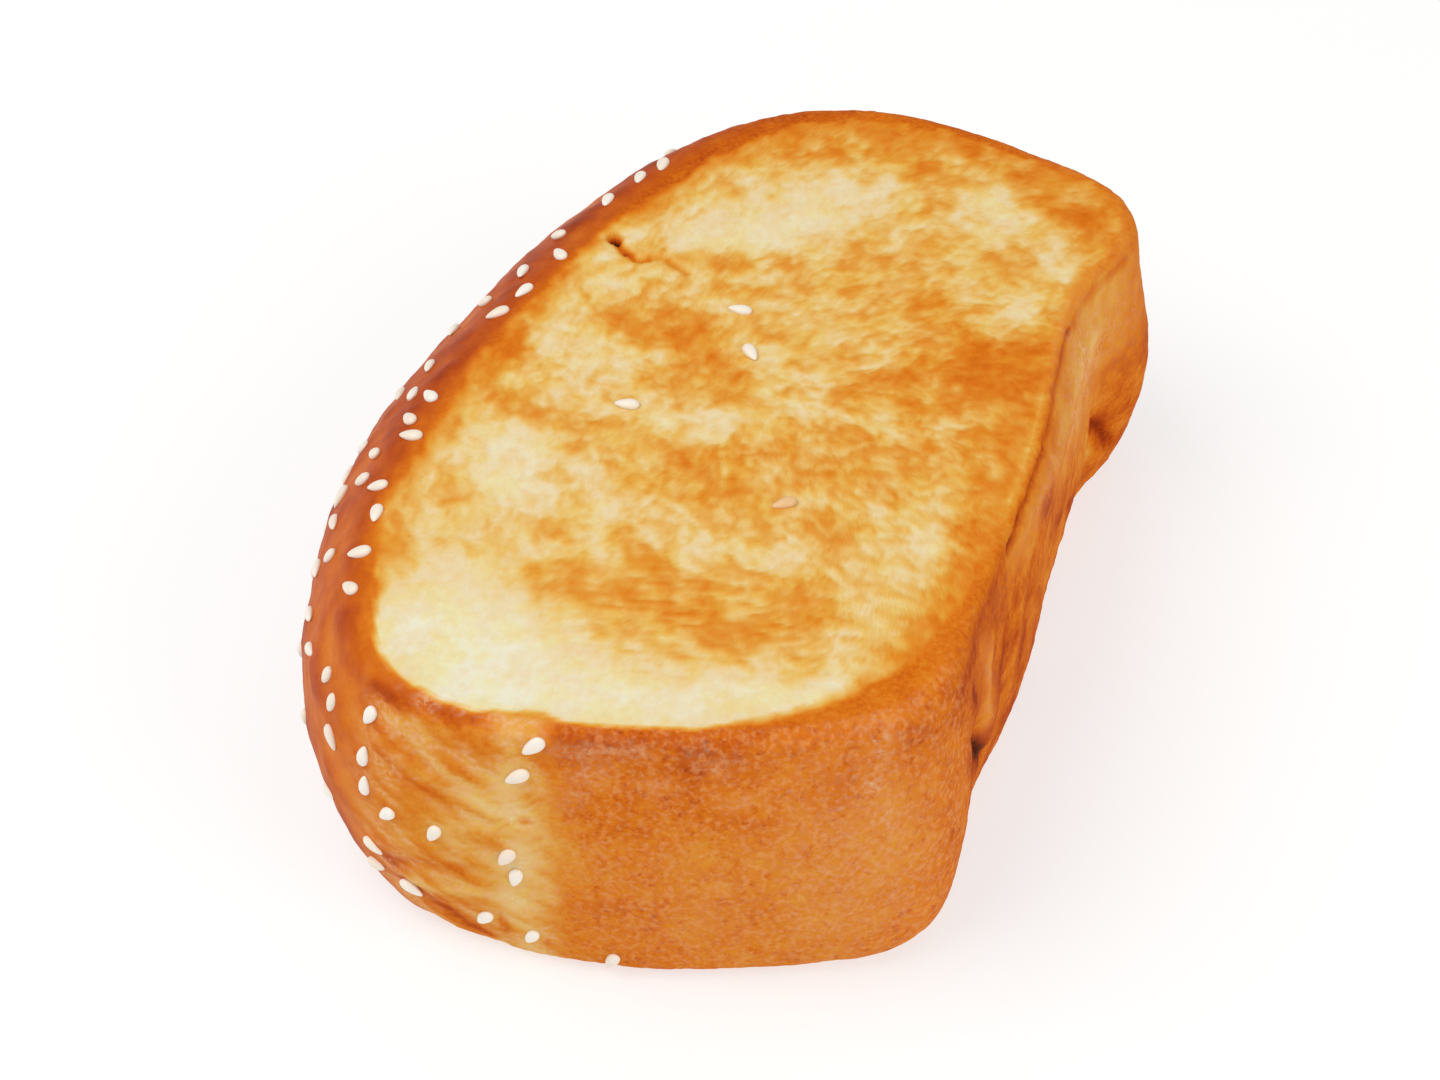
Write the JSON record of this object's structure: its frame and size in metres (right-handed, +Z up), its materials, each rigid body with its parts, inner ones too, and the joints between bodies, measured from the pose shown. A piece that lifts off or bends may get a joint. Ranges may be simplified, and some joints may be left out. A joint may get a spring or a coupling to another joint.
{
  "type": "brioche toast slice",
  "caption": "Thick slice of domed brioche toast lying flat: golden toasted face, glossy sesame-seeded crown crust, pan-baked side walls and a waisted sole.",
  "frame": {"origin": "middle of the slice's box at the height of its flat underside, where it rests", "axes": "+Z up through the slice's thickness to the toasted face, +Y along the loaf's width, away from the pan-baked wall, +X from the domed crown to the loaf's sole"},
  "size_m": [0.0924, 0.1292, 0.0405],
  "materials": {
    "toasted_bread": "matt toasted bread with a faint gloss on the crust"
  },
  "bodies": {
    "root": {"brioche_toast": "toasted_bread"}
  },
  "joints": []
}
